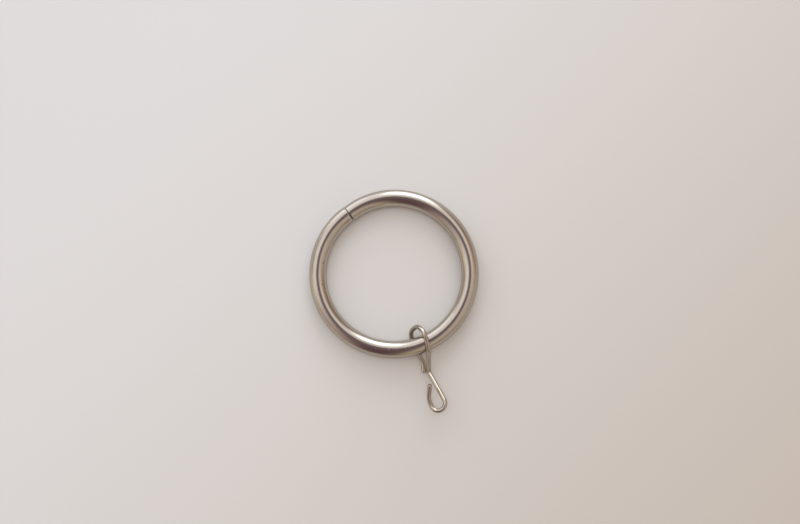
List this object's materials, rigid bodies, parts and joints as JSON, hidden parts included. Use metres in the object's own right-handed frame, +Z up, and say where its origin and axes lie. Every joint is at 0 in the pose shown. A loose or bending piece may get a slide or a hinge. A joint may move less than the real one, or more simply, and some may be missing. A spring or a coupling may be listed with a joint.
{
  "type": "curtain ring",
  "caption": "Round metal curtain ring of butted tube, with a loose wire hook looped round it that ends in a small open eye for the curtain.",
  "frame": {"origin": "centre of the ring, where the middle of a pole passes; the surface it lies on is 3.1 mm below", "axes": "+Z up from the surface the ring lies on, -Y from the ring's centre towards the hook and its eye, +X along the tube where the hook crosses it"},
  "size_m": [0.0476, 0.0648, 0.008],
  "materials": {
    "satin_nickel": "satin nickel plate on steel tube",
    "polished_nickel": "polished nickel plate on steel wire"
  },
  "bodies": {
    "ring_body": {"ring": "satin_nickel"},
    "hook_body": {"wire_hook": "polished_nickel"}
  },
  "joints": [
    {"name": "hook_swing", "type": "hinge", "parent": "ring_body", "child": "hook_body", "pos_m": [0, -0.02139, 0.00072], "axis": [1, 0, 0], "continuous": true}
  ]
}
